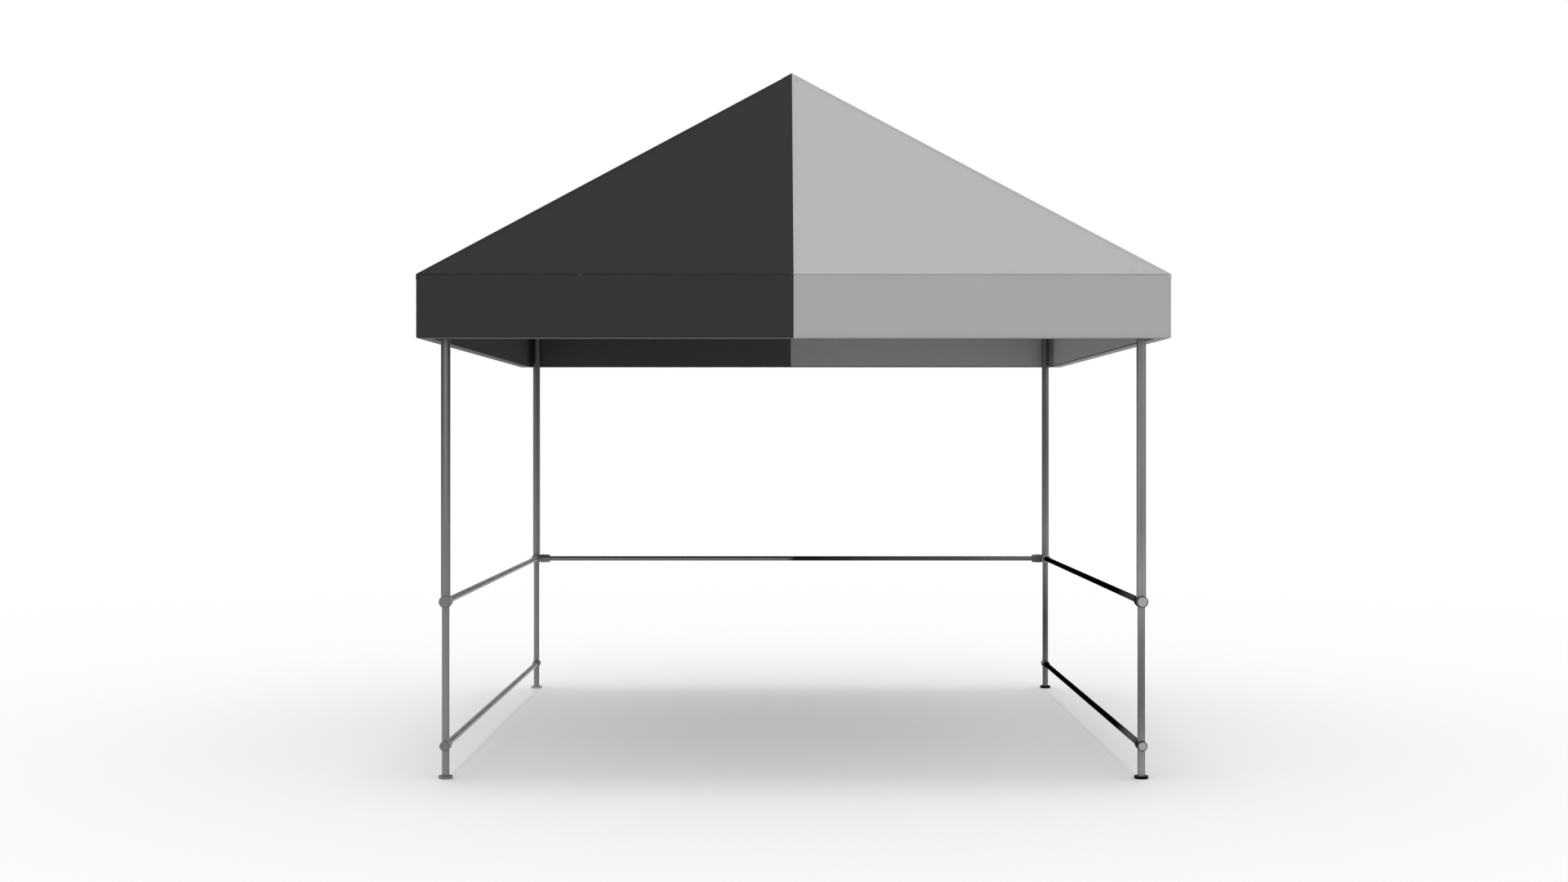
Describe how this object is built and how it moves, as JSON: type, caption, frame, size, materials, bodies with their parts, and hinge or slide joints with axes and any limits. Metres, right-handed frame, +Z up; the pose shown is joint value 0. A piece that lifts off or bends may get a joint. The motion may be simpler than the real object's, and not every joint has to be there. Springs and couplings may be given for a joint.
{
  "type": "pop up canopy",
  "caption": "Free-standing pop up canopy: boxed pyramid cover on a tube frame with telescoping legs, low and mid rails and disc clamp knobs.",
  "frame": {"origin": "floor level, at the centre of the plan", "axes": "+Z up, +X to the right when facing the open front, -Y towards the open front"},
  "size_m": [3, 3, 3.108],
  "materials": {
    "cloth_charcoal": "matt coated polyester, charcoal",
    "cloth_light": "matt coated polyester, light grey",
    "tube_steel": "drawn steel tube, satin",
    "rail_black": "satin black powder coat",
    "fitting_steel": "turned steel, satin",
    "foot_steel": "pressed steel, satin",
    "foot_black": "satin black powder coat",
    "knob_grey": "satin mid grey",
    "knob_light": "satin light grey",
    "cast_aluminium": "sand-cast, tumbled",
    "frame_aluminium": "mill finish extrusion",
    "nylon_black": "moulded nylon",
    "screw_steel": "zinc plated"
  },
  "bodies": {
    "upper_frame": {"roof_cover_left": "cloth_charcoal", "roof_cover_right": "cloth_light", "valance_left": "cloth_charcoal", "valance_right": "cloth_light", "peak_pad": "nylon_black", "crown_hub": "cast_aluminium", "front_left_rafter": "frame_aluminium", "front_left_corner_casting": "cast_aluminium", "front_left_upper_leg": "tube_steel", "front_left_mid_fitting": "fitting_steel", "front_right_rafter": "frame_aluminium", "front_right_corner_casting": "cast_aluminium", "front_right_upper_leg": "tube_steel", "front_right_mid_fitting": "fitting_steel", "back_left_rafter": "frame_aluminium", "back_left_corner_casting": "cast_aluminium", "back_left_upper_leg": "tube_steel", "back_left_mid_fitting": "fitting_steel", "back_right_rafter": "frame_aluminium", "back_right_corner_casting": "cast_aluminium", "back_right_upper_leg": "tube_steel", "back_right_mid_fitting": "fitting_steel", "front_valance_frame": "frame_aluminium", "back_valance_frame": "frame_aluminium", "left_valance_frame": "frame_aluminium", "right_valance_frame": "frame_aluminium", "valance_elbows": "nylon_black", "leg_bushes": "nylon_black", "leg_height_stops": "fitting_steel", "left_mid_rail": "tube_steel", "right_mid_rail": "rail_black", "back_mid_rail": "tube_steel", "rail_set_screws": "screw_steel", "frame_screws": "screw_steel"},
    "left_lower_frame": {"front_left_lower_leg": "tube_steel", "front_left_low_fitting": "fitting_steel", "front_left_foot": "foot_steel", "back_left_lower_leg": "tube_steel", "back_left_low_fitting": "fitting_steel", "back_left_foot": "foot_steel", "left_low_rail": "tube_steel", "left_guide_caps": "nylon_black", "left_low_set_screws": "screw_steel"},
    "right_lower_frame": {"front_right_lower_leg": "tube_steel", "front_right_low_fitting": "fitting_steel", "front_right_foot": "foot_black", "back_right_lower_leg": "tube_steel", "back_right_low_fitting": "fitting_steel", "back_right_foot": "foot_black", "right_low_rail": "rail_black", "right_guide_caps": "nylon_black", "right_low_set_screws": "screw_steel"},
    "front_left_mid_knob_body": {"front_left_mid_knob": "knob_grey"},
    "front_left_low_knob_body": {"front_left_low_knob": "knob_grey"},
    "front_right_mid_knob_body": {"front_right_mid_knob": "knob_light"},
    "front_right_low_knob_body": {"front_right_low_knob": "knob_light"},
    "back_left_mid_knob_body": {"back_left_mid_knob": "knob_grey"},
    "back_left_low_knob_body": {"back_left_low_knob": "knob_grey"},
    "back_right_mid_knob_body": {"back_right_mid_knob": "knob_light"},
    "back_right_low_knob_body": {"back_right_low_knob": "knob_light"}
  },
  "joints": [
    {"name": "left_leg_height", "type": "slide", "parent": "upper_frame", "child": "left_lower_frame", "axis": [0, 0, 1], "range_m": [-0.3, 0]},
    {"name": "right_leg_height", "type": "slide", "parent": "upper_frame", "child": "right_lower_frame", "axis": [0, 0, 1], "range_m": [-0.3, 0]},
    {"name": "front_left_mid_knob_turn", "type": "hinge", "parent": "upper_frame", "child": "front_left_mid_knob_body", "pos_m": [-1.4, -1.4202, 0.712], "axis": [0, -1, 0], "range_deg": [0, 270]},
    {"name": "front_left_low_knob_turn", "type": "hinge", "parent": "left_lower_frame", "child": "front_left_low_knob_body", "pos_m": [-1.4, -1.4202, 0.133], "axis": [0, -1, 0], "range_deg": [0, 270]},
    {"name": "front_right_mid_knob_turn", "type": "hinge", "parent": "upper_frame", "child": "front_right_mid_knob_body", "pos_m": [1.4, -1.4202, 0.712], "axis": [0, -1, 0], "range_deg": [0, 270]},
    {"name": "front_right_low_knob_turn", "type": "hinge", "parent": "right_lower_frame", "child": "front_right_low_knob_body", "pos_m": [1.4, -1.4202, 0.133], "axis": [0, -1, 0], "range_deg": [0, 270]},
    {"name": "back_left_mid_knob_turn", "type": "hinge", "parent": "upper_frame", "child": "back_left_mid_knob_body", "pos_m": [-1.4, 1.4202, 0.712], "axis": [0, 1, 0], "range_deg": [0, 270]},
    {"name": "back_left_low_knob_turn", "type": "hinge", "parent": "left_lower_frame", "child": "back_left_low_knob_body", "pos_m": [-1.4, 1.4202, 0.133], "axis": [0, 1, 0], "range_deg": [0, 270]},
    {"name": "back_right_mid_knob_turn", "type": "hinge", "parent": "upper_frame", "child": "back_right_mid_knob_body", "pos_m": [1.4, 1.4202, 0.712], "axis": [0, 1, 0], "range_deg": [0, 270]},
    {"name": "back_right_low_knob_turn", "type": "hinge", "parent": "right_lower_frame", "child": "back_right_low_knob_body", "pos_m": [1.4, 1.4202, 0.133], "axis": [0, 1, 0], "range_deg": [0, 270]}
  ]
}
